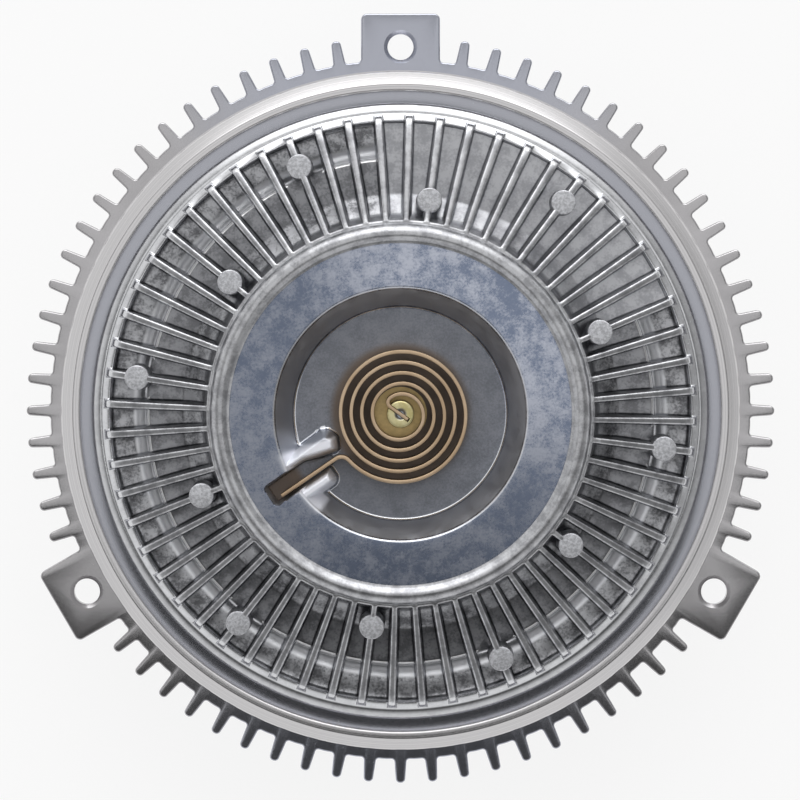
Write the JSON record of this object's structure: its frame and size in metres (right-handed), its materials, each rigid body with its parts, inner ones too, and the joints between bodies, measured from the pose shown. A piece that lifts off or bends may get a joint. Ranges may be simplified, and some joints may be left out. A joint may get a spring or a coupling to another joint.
{
  "type": "viscous_fan_clutch",
  "caption": "Viscous cooling-fan clutch with a toothed flange, fan lugs, a finned cover and a bimetal coil valve",
  "frame": {"origin": "on the clutch axis, in the plane of the hub's rear mounting face", "axes": "+Z along the clutch axis towards the coil at the front, +Y towards one fan lug"},
  "size_m": [0.19, 0.1956, 0.0656],
  "materials": {
    "cast_aluminium": "die-cast, tumbled",
    "machined_aluminium": "machined",
    "zinc_sheet": "zinc plated",
    "steel": "turned",
    "bearing_steel": "ground",
    "spring_steel": "blackened",
    "cage_brass": "plain",
    "bush_brass": "plain",
    "passivated_steel": "yellow passivated",
    "bimetal": "rolled bimetal",
    "wiper_plastic": "plain",
    "seal_rubber": "matte"
  },
  "bodies": {
    "hub": {"input_hub": "steel", "rotor": "machined_aluminium", "rotor_retaining_ring": "spring_steel", "bearing_inner_ring": "bearing_steel"},
    "ball_cage": {"bearing_balls": "bearing_steel", "bearing_cage": "cage_brass"},
    "housing": {"rear_housing": "cast_aluminium", "cover_seal_ring": "seal_rubber", "front_cover": "cast_aluminium", "pump_wipers": "wiper_plastic", "separator_plate": "zinc_sheet", "separator_screws": "steel", "reservoir_cap": "zinc_sheet", "cap_seal_ring": "seal_rubber", "valve_bush": "bush_brass", "bearing_outer_ring": "bearing_steel", "bearing_rear_shield": "steel", "bearing_front_shield": "steel", "bearing_snap_ring": "spring_steel", "bimetal_coil": "bimetal"},
    "valve": {"valve_shaft": "passivated_steel", "valve_lever": "steel", "valve_o_ring": "seal_rubber"}
  },
  "joints": [
    {"name": "body_spin", "type": "hinge", "parent": "hub", "child": "housing", "pos_m": [0, 0, 0.02], "axis": [0, 0, 1], "continuous": true},
    {"name": "cage_spin", "type": "hinge", "parent": "hub", "child": "ball_cage", "pos_m": [0, 0, 0.02], "axis": [0, 0, 1], "continuous": true},
    {"name": "valve_turn", "type": "hinge", "parent": "housing", "child": "valve", "pos_m": [0, 0, 0.055], "axis": [0, 0, 1], "range_deg": [0, 50], "stiffness_Nm_per_rad": 0.02, "deforming": ["bimetal_coil"]}
  ],
  "couplings": [
    {"joint": "cage_spin", "follows": "body_spin", "ratio": 0.6031}
  ]
}
